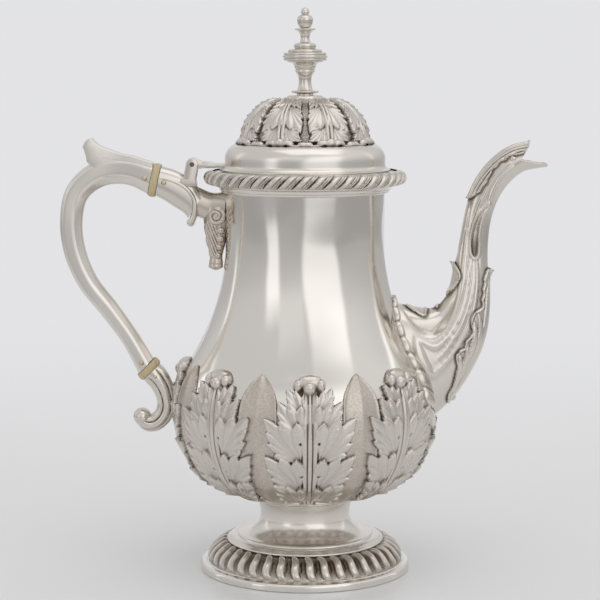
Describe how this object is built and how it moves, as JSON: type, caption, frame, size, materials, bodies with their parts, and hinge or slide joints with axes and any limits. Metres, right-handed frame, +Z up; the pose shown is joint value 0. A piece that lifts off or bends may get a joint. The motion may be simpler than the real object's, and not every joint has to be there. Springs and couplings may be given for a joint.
{
  "type": "coffee pot",
  "caption": "Baluster coffee pot in silver with a spreading foot, leafwork on the belly, hinged domed lid with a finial, swan-neck spout and scroll handle set off by pale insulators.",
  "frame": {"origin": "centre of the foot's flat underside, on the vessel's axis", "axes": "+Z up along the vessel's axis, +X to the spout, -X to the handle"},
  "size_m": [0.2512, 0.1388, 0.2916],
  "materials": {
    "silver_plain": "polished silver, lightly worn",
    "silver_cast": "cast and chased silver with darker recesses",
    "silver_leafwork": "matted silver leafwork",
    "silver_fittings": "worn silver pins and hinge",
    "insulator": "pale cream insulating ring, waxed"
  },
  "bodies": {
    "pot": {"foot_plinth": "silver_plain", "foot_gadroon": "silver_cast", "foot_spool": "silver_plain", "foot_collar": "silver_plain", "body_shell": "silver_plain", "neck_moulding": "silver_plain", "rim_gadroon": "silver_cast", "acanthus_leaves": "silver_leafwork", "plain_leaves": "silver_leafwork", "hinge_lugs": "silver_fittings", "hinge_pin": "silver_fittings", "upper_socket": "silver_cast", "upper_socket_plate": "silver_cast", "upper_socket_scroll": "silver_cast", "upper_socket_drop": "silver_cast", "upper_insulator": "insulator", "handle_grip": "silver_plain", "thumb_rest": "silver_cast", "lower_insulator": "insulator", "lower_socket": "silver_cast", "handle_pins": "silver_fittings", "spout_near_half": "silver_cast", "spout_far_half": "silver_cast", "spout_hood": "silver_cast", "spout_upper_leaf": "silver_cast", "spout_under_leaf": "silver_cast", "spout_flange": "silver_leafwork"},
    "lid": {"lid_shell": "silver_plain", "lid_bezel": "silver_plain", "lid_leaves": "silver_leafwork", "finial_plate": "silver_cast", "finial_stem": "silver_cast", "finial_knop": "silver_cast", "finial_spindle": "silver_cast", "finial_ball": "silver_cast", "finial_stud": "silver_fittings", "finial_nut": "silver_fittings", "hinge_arm": "silver_fittings"}
  },
  "joints": [
    {"name": "lid_hinge", "type": "hinge", "parent": "pot", "child": "lid", "pos_m": [-0.058, 0, 0.2118], "axis": [0, -1, 0], "range_deg": [0, 100]}
  ]
}
